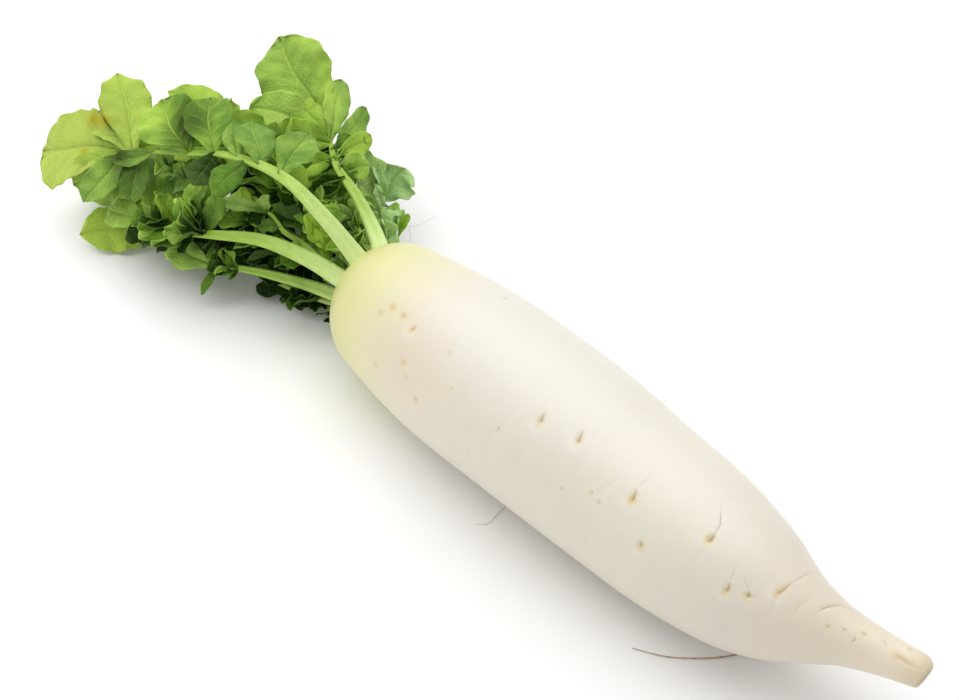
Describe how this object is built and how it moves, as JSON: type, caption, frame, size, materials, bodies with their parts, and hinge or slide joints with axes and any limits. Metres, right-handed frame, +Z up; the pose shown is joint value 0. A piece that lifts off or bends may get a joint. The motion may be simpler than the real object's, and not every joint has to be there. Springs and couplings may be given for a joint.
{
  "type": "daikon radish",
  "caption": "Whole white daikon radish lying on its side, with a long tapered root, a pale green crown and a tuft of lobed green leaves.",
  "frame": {"origin": "on the surface that the radish lies on, in the middle of the flat on the belly of the root", "axes": "+X along the root towards its tail, -X towards the leaves, +Z up from the surface, +Y to the side that the tail bends towards"},
  "size_m": [0.5142, 0.1391, 0.094],
  "materials": {
    "root": "satin waxy skin, cream white, pale green at the crown",
    "leaves": "matt leaf green with paler stalks and veins"
  },
  "bodies": {
    "root": {"root": "root", "leaf_arched": "leaves", "leaf_tall": "leaves", "leaf_front": "leaves", "leaf_front_low": "leaves", "leaf_far": "leaves", "leaf_curled": "leaves", "leaf_middle": "leaves", "leaf_heart": "leaves", "leaf_inner": "leaves", "leaf_back": "leaves", "leaf_under": "leaves"}
  },
  "joints": []
}
